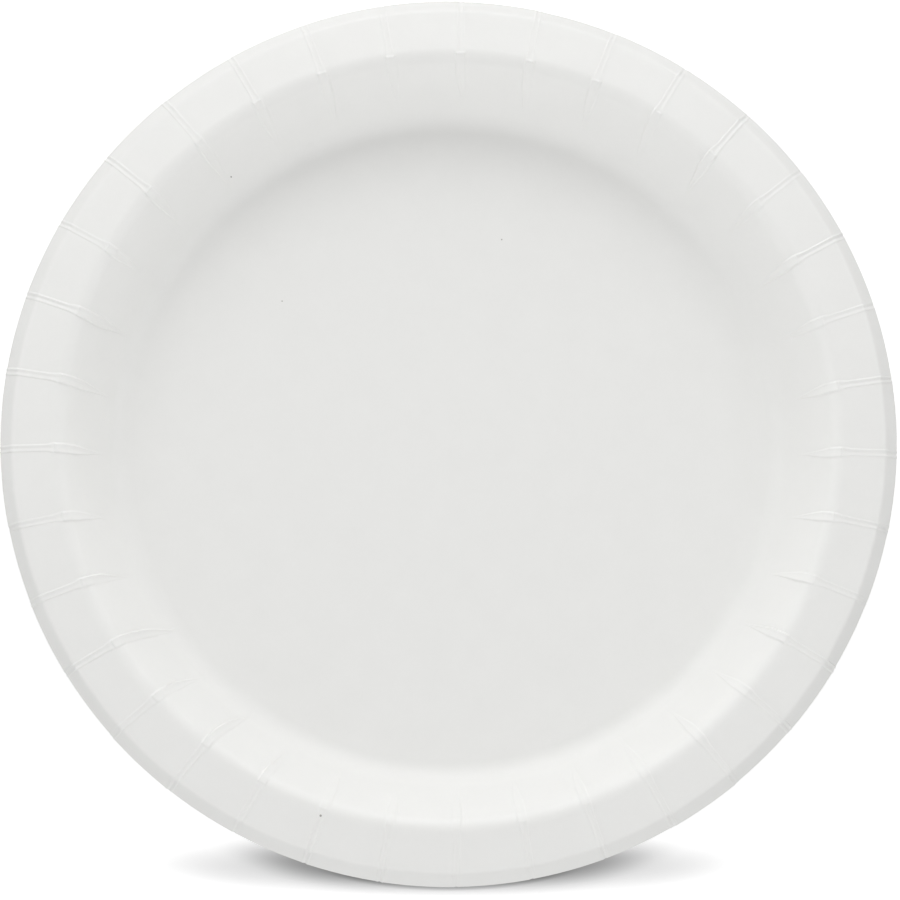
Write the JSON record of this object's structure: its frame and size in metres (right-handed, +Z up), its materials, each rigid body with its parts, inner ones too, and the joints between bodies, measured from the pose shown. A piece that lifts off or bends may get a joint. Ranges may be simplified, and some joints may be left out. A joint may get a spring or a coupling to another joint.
{
  "type": "paper plate",
  "caption": "Round shallow white paper plate with a flat well, a sloping side, and a pleated rim that ends in a turned-down lip.",
  "frame": {"origin": "centre of the flat underside, where the plate rests on a table", "axes": "+Z up, square to the well, towards the food side; +Y towards the top of the picture"},
  "size_m": [0.2286, 0.2286, 0.0158],
  "materials": {
    "coated_board": "satin"
  },
  "bodies": {
    "root": {"plate": "coated_board"}
  },
  "joints": []
}
